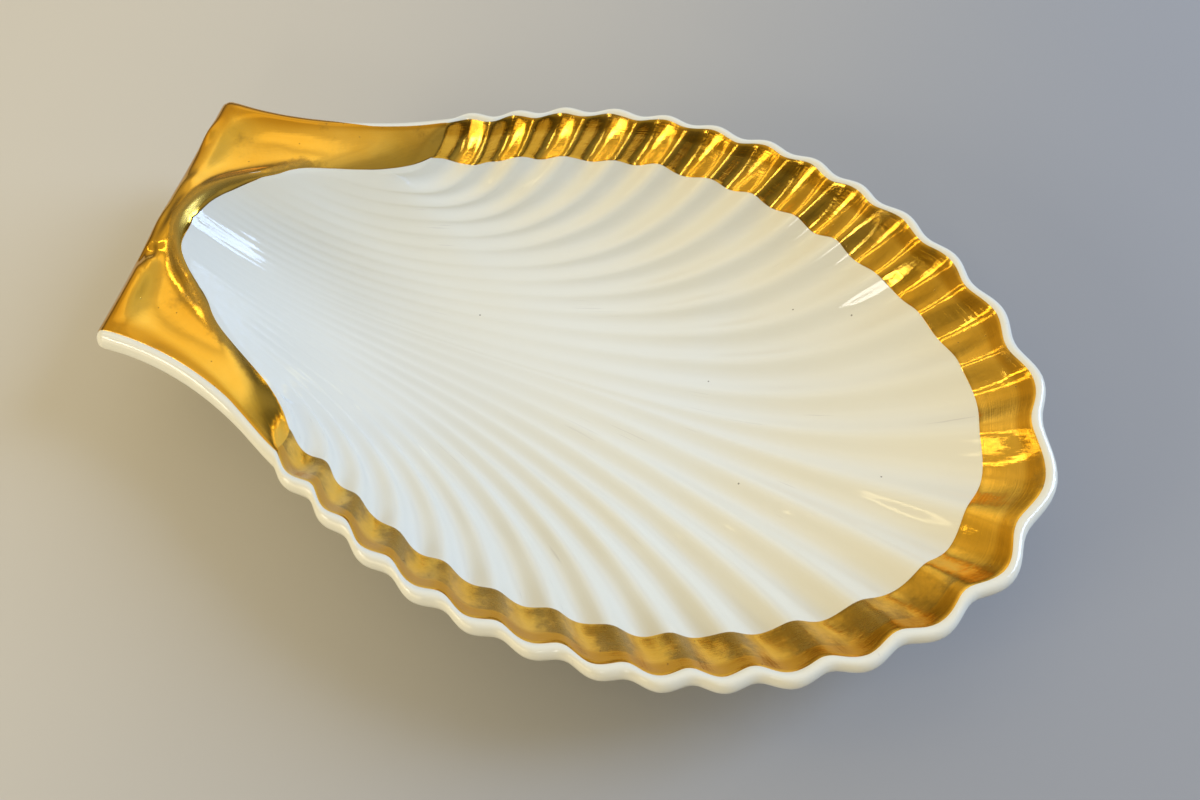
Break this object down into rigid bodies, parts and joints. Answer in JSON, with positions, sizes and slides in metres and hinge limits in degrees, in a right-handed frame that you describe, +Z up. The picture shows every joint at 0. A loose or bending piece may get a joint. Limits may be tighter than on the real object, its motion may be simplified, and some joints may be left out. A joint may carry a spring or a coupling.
{
  "type": "shell-shaped butter dish",
  "caption": "Shallow scallop-shell dish with a fluted bowl, scalloped lip, eared tab for a handle and gilded edge, standing on an oval foot ring.",
  "frame": {"origin": "on the table, under the middle of the dish's length and width", "axes": "+X from the tab to the wide fluted end, +Y across the dish, +Z up out of the bowl"},
  "size_m": [0.233, 0.153, 0.0368],
  "materials": {
    "glazed_porcelain": "glossy transparent glaze over white porcelain",
    "ground_porcelain": "glazed sides and a bare, ground resting face",
    "fired_gold": "fired bright gold, worn thin in places"
  },
  "bodies": {
    "root": {"porcelain_body": "glazed_porcelain", "foot_ring": "ground_porcelain", "rim_gilding": "fired_gold", "tab_gilding": "fired_gold"}
  },
  "joints": []
}
